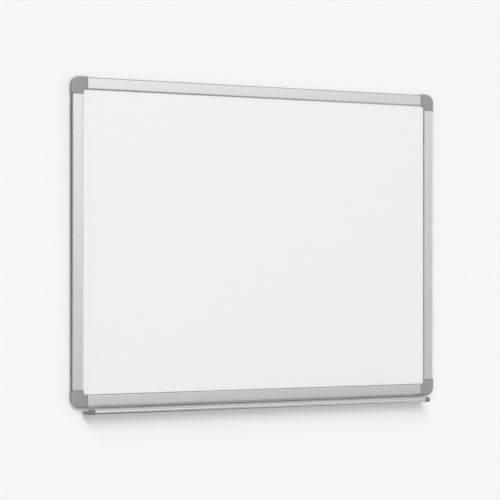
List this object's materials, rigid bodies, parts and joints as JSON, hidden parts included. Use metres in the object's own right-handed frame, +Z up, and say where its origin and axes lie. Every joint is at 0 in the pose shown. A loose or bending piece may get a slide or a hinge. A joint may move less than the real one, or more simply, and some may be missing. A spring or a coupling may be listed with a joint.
{
  "type": "magnetic whiteboard",
  "caption": "Wall-hung magnetic whiteboard: white steel-faced panel in an aluminium frame with rounded grey plastic corners and a sliding aluminium pen tray under it.",
  "frame": {"origin": "middle of the top rail's rear face, where the board rests on the wall", "axes": "+X to the right along the board's width, +Y into the wall, +Z up; the writing face looks along -Y"},
  "size_m": [1.2014, 0.0506, 0.9187],
  "materials": {
    "white_enamel": "gloss white lacquer",
    "board_core": "raw fibre board",
    "galvanised_steel": "galvanised",
    "anodised_aluminium": "satin silver anodised",
    "grey_plastic": "fine grained mid grey",
    "dark_grey_plastic": "fine grained dark grey",
    "zinc_plated_steel": "bright zinc plated"
  },
  "bodies": {
    "board": {"writing_sheet": "white_enamel", "core_board": "board_core", "backing_sheet": "galvanised_steel", "rail_top": "anodised_aluminium", "rail_bottom": "anodised_aluminium", "rail_left": "anodised_aluminium", "rail_right": "anodised_aluminium", "corner_joint_top_left": "grey_plastic", "corner_joint_top_right": "grey_plastic", "corner_joint_bottom_left": "grey_plastic", "corner_joint_bottom_right": "grey_plastic", "corner_cover_top_left": "grey_plastic", "corner_cover_top_right": "grey_plastic", "corner_cover_bottom_left": "grey_plastic", "corner_cover_bottom_right": "grey_plastic", "rail_screw_top_left_level": "zinc_plated_steel", "rail_screw_top_left_upright": "zinc_plated_steel", "rail_screw_top_right_level": "zinc_plated_steel", "rail_screw_top_right_upright": "zinc_plated_steel", "rail_screw_bottom_left_level": "zinc_plated_steel", "rail_screw_bottom_left_upright": "zinc_plated_steel", "rail_screw_bottom_right_level": "zinc_plated_steel", "rail_screw_bottom_right_upright": "zinc_plated_steel"},
    "tray": {"pen_tray": "anodised_aluminium", "tray_end_cap_left": "dark_grey_plastic", "tray_end_cap_right": "dark_grey_plastic"}
  },
  "joints": [
    {"name": "tray_slide", "type": "slide", "parent": "board", "child": "tray", "axis": [1, 0, 0], "range_m": [-0.02, 0.02]}
  ]
}
